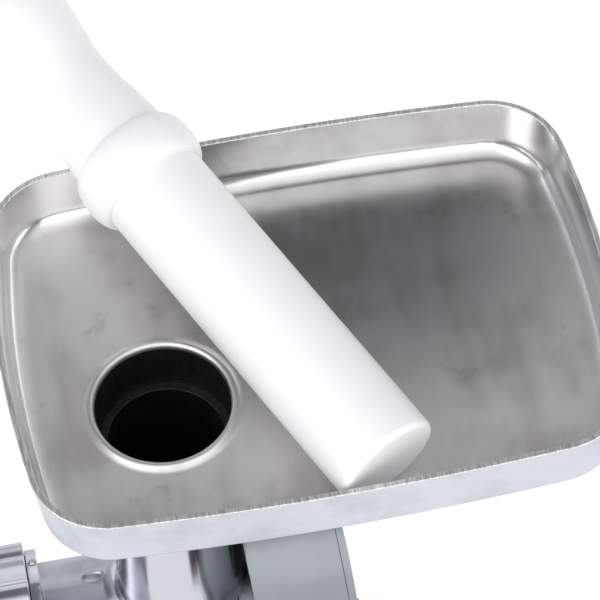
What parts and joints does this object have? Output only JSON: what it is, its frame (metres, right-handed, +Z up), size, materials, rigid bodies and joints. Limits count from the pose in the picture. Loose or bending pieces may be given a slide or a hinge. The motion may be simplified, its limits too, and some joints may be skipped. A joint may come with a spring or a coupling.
{
  "type": "electric meat grinder",
  "caption": "Electric meat grinder: cast tower with a horizontal barrel and tall throat, a bowed rectangular feed tray on top and a loose pusher lying across it.",
  "frame": {"origin": "centre of the rectangle of the four feet, on the floor", "axes": "+Z up; the barrel axis is parallel to X in the plane y = 0 and its mouth faces -X; the controls are on the -Y side"},
  "size_m": [0.3502, 0.3433, 0.5117],
  "materials": {
    "polished_aluminium": "cast, ground and hand polished, satin floor",
    "cast_aluminium": "as cast, tumbled, turned faces",
    "satin_aluminium": "cast and buffed to a satin",
    "machined_aluminium": "machined",
    "zinc_plated_steel": "zinc plated",
    "ground_steel": "ground",
    "cast_steel": "tinned casting",
    "lamination_steel": "varnished laminations",
    "enamelled_copper": "enamelled wire",
    "rubber": "moulded",
    "white_plastic": "moulded, semi-gloss",
    "black_plastic": "moulded",
    "green_plastic": "moulded",
    "red_plastic": "moulded",
    "bronze": "sintered"
  },
  "bodies": {
    "housing": {"base_plate": "zinc_plated_steel", "bench_inserts": "zinc_plated_steel", "rubber_feet": "rubber", "foot_screws": "zinc_plated_steel", "body_casting": "satin_aluminium", "rear_cover": "satin_aluminium", "cover_screws": "zinc_plated_steel", "socket_flange": "satin_aluminium", "flange_bolts": "zinc_plated_steel", "gearbox_front_plate": "machined_aluminium", "gearbox_rear_plate": "machined_aluminium", "gearbox_pillars": "zinc_plated_steel", "output_bearings": "ground_steel", "lay_bearings": "ground_steel", "shaft_seal": "rubber", "motor_stator": "lamination_steel", "stator_windings": "enamelled_copper", "motor_front_bell": "machined_aluminium", "motor_rear_bell": "machined_aluminium", "motor_tie_bolts": "zinc_plated_steel", "motor_bearings": "ground_steel", "motor_cradle": "zinc_plated_steel", "capacitor": "machined_aluminium", "capacitor_clip": "zinc_plated_steel", "terminal_block": "white_plastic", "inlet_shroud": "black_plastic", "inlet_blades": "zinc_plated_steel", "inlet_screws": "zinc_plated_steel", "power_switch_frame": "black_plastic", "reverse_switch_frame": "black_plastic", "overload_breaker": "black_plastic"},
    "head": {"head_casting": "cast_aluminium", "plate_key": "zinc_plated_steel", "auger_bush": "bronze", "cutting_plate": "ground_steel"},
    "ring_nut": {"ring_nut": "cast_aluminium"},
    "auger": {"auger": "cast_steel", "cross_knife": "ground_steel"},
    "output_shaft": {"output_shaft": "ground_steel", "output_gear": "ground_steel"},
    "layshaft": {"layshaft_pinion": "ground_steel", "layshaft_wheel": "ground_steel"},
    "rotor": {"motor_shaft": "ground_steel", "rotor_core": "lamination_steel", "cooling_fan": "black_plastic"},
    "lock_screw": {"lock_stud": "zinc_plated_steel", "lock_grip": "black_plastic"},
    "tray": {"feed_tray": "polished_aluminium"},
    "pusher": {"pusher": "white_plastic"},
    "power_rocker": {"power_rocker": "green_plastic"},
    "reverse_rocker": {"reverse_rocker": "black_plastic"},
    "reset_button": {"reset_button": "red_plastic"}
  },
  "joints": [
    {"name": "head_slide", "type": "slide", "parent": "housing", "child": "head", "axis": [-1, 0, 0], "range_m": [0, 0.12]},
    {"name": "ring_nut_turn", "type": "hinge", "parent": "head", "child": "ring_nut", "pos_m": [-0.125, 0, 0.2], "axis": [-1, 0, 0], "range_deg": [0, 1780]},
    {"name": "auger_turn", "type": "hinge", "parent": "head", "child": "auger", "pos_m": [-0.06, 0, 0.2], "axis": [1, 0, 0], "continuous": true},
    {"name": "output_turn", "type": "hinge", "parent": "housing", "child": "output_shaft", "pos_m": [0.035, 0, 0.2], "axis": [1, 0, 0], "continuous": true},
    {"name": "layshaft_turn", "type": "hinge", "parent": "housing", "child": "layshaft", "pos_m": [0.04, 0, 0.126], "axis": [1, 0, 0], "continuous": true},
    {"name": "rotor_turn", "type": "hinge", "parent": "housing", "child": "rotor", "pos_m": [-0.02, 0, 0.066], "axis": [1, 0, 0], "continuous": true},
    {"name": "lock_screw_turn", "type": "hinge", "parent": "housing", "child": "lock_screw", "pos_m": [0.009, -0.06, 0.2], "axis": [0, -1, 0], "range_deg": [0, 360]},
    {"name": "tray_lift", "type": "slide", "parent": "head", "child": "tray", "axis": [0, 0, 1], "range_m": [0, 0.15]},
    {"name": "pusher_lift", "type": "slide", "parent": "tray", "child": "pusher", "axis": [0.6, 0, 0.8], "range_m": [0, 0.2]},
    {"name": "power_rocker_tilt", "type": "hinge", "parent": "housing", "child": "power_rocker", "pos_m": [0.037, -0.087, 0.274], "axis": [1, 0, 0], "range_deg": [0, 16]},
    {"name": "reverse_rocker_tilt", "type": "hinge", "parent": "housing", "child": "reverse_rocker", "pos_m": [0.037, -0.087, 0.23], "axis": [1, 0, 0], "range_deg": [-8, 8]},
    {"name": "reset_button_press", "type": "slide", "parent": "housing", "child": "reset_button", "axis": [0, 1, 0], "range_m": [0, 0.0025], "stiffness_N_per_m": 600}
  ],
  "couplings": [
    {"joint": "auger_turn", "follows": "output_turn", "ratio": 1},
    {"joint": "layshaft_turn", "follows": "output_turn", "ratio": -3.9333},
    {"joint": "rotor_turn", "follows": "output_turn", "ratio": 18.543}
  ]
}
